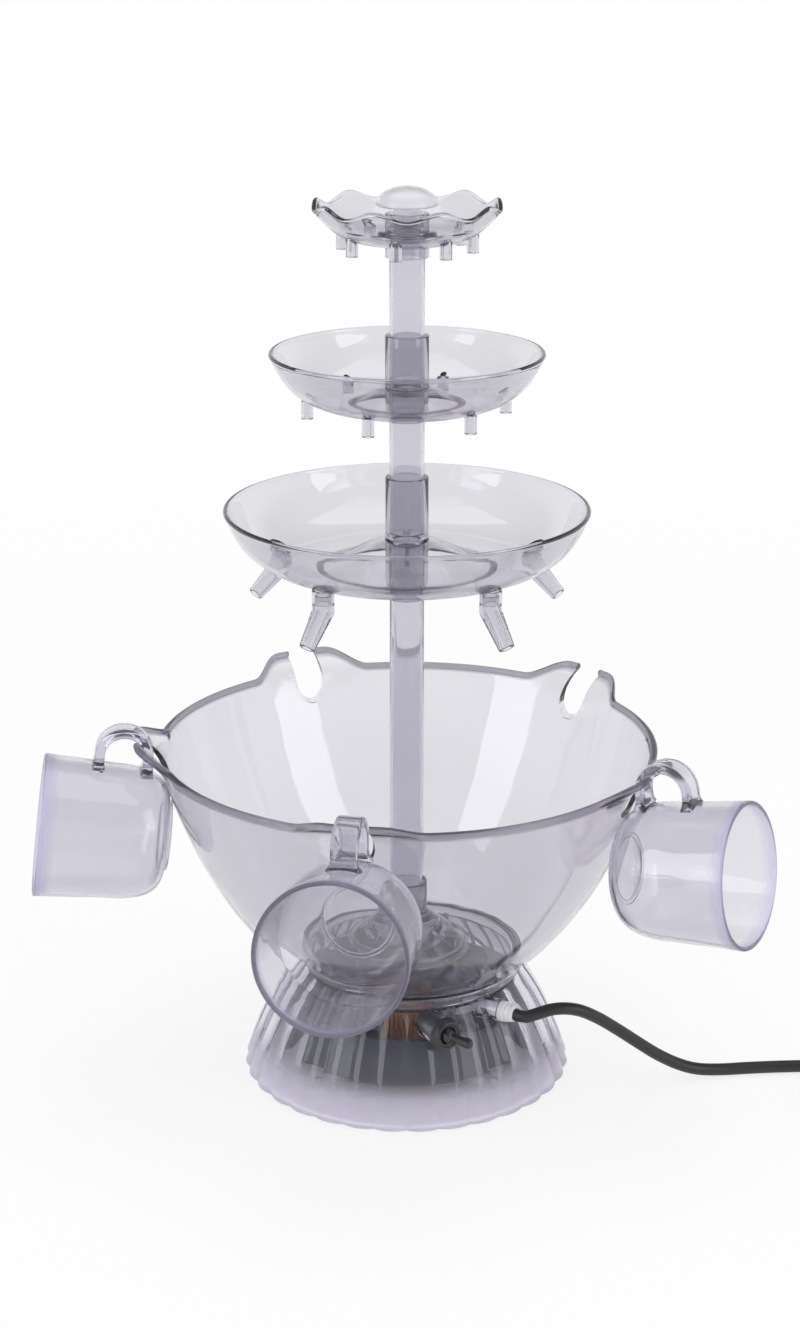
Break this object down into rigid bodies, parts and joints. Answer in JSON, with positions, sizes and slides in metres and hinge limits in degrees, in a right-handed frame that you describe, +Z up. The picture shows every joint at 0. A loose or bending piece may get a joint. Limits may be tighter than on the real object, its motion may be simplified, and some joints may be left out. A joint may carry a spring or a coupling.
{
  "type": "drinks fountain",
  "caption": "Tabletop drinks fountain in clear plastic: fluted motor base, deep bowl with cup hooks at its rim, a column of stacked trays with spouts, hanging cups and a switch and cord.",
  "frame": {"origin": "on the table, at the middle of the centre foot, under the column's axis", "axes": "+Z up along the column, -Y to the front where the switch is, +X to the right where the cord leaves"},
  "size_m": [0.61, 0.3575, 0.5068],
  "materials": {
    "clear_plastic": "clear moulded plastic, faint lavender tint",
    "clear_tube": "clear tube, a little cloudy",
    "clear_base": "clear fluted plastic, a little milky",
    "grey_plastic": "pale grey moulding",
    "black_rubber": "matte rubber",
    "steel": "plain steel",
    "lamination": "steel laminations",
    "navy_plastic": "dark navy moulding",
    "coil_tape": "copper winding under clear tape",
    "bronze": "sintered bronze",
    "white_plastic": "white moulding",
    "black_plastic": "black, half gloss",
    "cord_black": "smooth black cord sheath",
    "brass": "plain brass blades"
  },
  "bodies": {
    "stand": {"base_cover": "clear_base", "base_plate": "grey_plastic", "feet": "black_rubber", "plate_screws": "steel", "motor_tray": "navy_plastic", "stator_core": "lamination", "motor_coil": "coil_tape", "motor_bridge": "steel", "motor_screws": "steel", "lower_bearing": "bronze", "upper_bearing": "bronze", "shaft_seal": "black_rubber", "terminal_block": "grey_plastic", "switch_body": "black_plastic", "switch_bezel": "black_plastic", "cord_gland": "white_plastic", "cord": "cord_black", "cord_coil": "cord_black", "cord_tail": "cord_black", "coil_tie": "white_plastic", "plug_body": "cord_black", "plug_blades": "brass", "bowl": "clear_plastic", "bowl_screws": "steel"},
    "rotor": {"motor_rotor": "lamination", "motor_shaft": "steel", "impeller": "white_plastic"},
    "lever": {"switch_lever": "black_plastic"},
    "column": {"pump_cover": "clear_plastic", "lower_tube": "clear_tube"},
    "large_stage": {"large_tier": "clear_plastic", "spout_1": "clear_plastic", "spout_2": "clear_plastic", "spout_3": "clear_plastic", "spout_4": "clear_plastic", "spout_5": "clear_plastic"},
    "middle_stage": {"middle_tube": "clear_tube", "middle_tier": "clear_plastic"},
    "top_stage": {"upper_tube": "clear_tube", "top_tier": "clear_plastic"},
    "cap": {"diverter_cap": "clear_plastic"},
    "left_cup": {"cup_left": "clear_plastic"},
    "front_cup": {"cup_front": "clear_plastic"},
    "right_cup": {"cup_right": "clear_plastic"}
  },
  "joints": [
    {"name": "rotor_spin", "type": "hinge", "parent": "stand", "child": "rotor", "pos_m": [0, 0, 0.044], "axis": [0, 0, 1], "continuous": true},
    {"name": "lever_flip", "type": "hinge", "parent": "stand", "child": "lever", "pos_m": [0.02257, -0.07762, 0.053], "axis": [0, 0, -1], "range_deg": [0, 26]},
    {"name": "column_lift", "type": "slide", "parent": "stand", "child": "column", "axis": [0, 0, 1], "range_m": [0, 0.06]},
    {"name": "large_tier_lift", "type": "slide", "parent": "column", "child": "large_stage", "axis": [0, 0, 1], "range_m": [0, 0.03]},
    {"name": "middle_tier_lift", "type": "slide", "parent": "large_stage", "child": "middle_stage", "axis": [0, 0, 1], "range_m": [0, 0.028]},
    {"name": "top_tier_lift", "type": "slide", "parent": "middle_stage", "child": "top_stage", "axis": [0, 0, 1], "range_m": [0, 0.02]},
    {"name": "cap_lift", "type": "slide", "parent": "top_stage", "child": "cap", "axis": [0, 0, 1], "range_m": [0, 0.006]},
    {"name": "left_cup_swing", "type": "hinge", "parent": "stand", "child": "left_cup", "pos_m": [-0.15679, -0.02064, 0.1971], "axis": [-0.1305, 0.9914, 0], "range_deg": [0, 12]},
    {"name": "front_cup_swing", "type": "hinge", "parent": "stand", "child": "front_cup", "pos_m": [-0.02882, -0.1555, 0.1971], "axis": [-0.9833, 0.1822, 0], "range_deg": [0, 12]},
    {"name": "right_cup_swing", "type": "hinge", "parent": "stand", "child": "right_cup", "pos_m": [0.13898, -0.07546, 0.1971], "axis": [-0.4772, -0.8788, 0], "range_deg": [0, 12]}
  ]
}
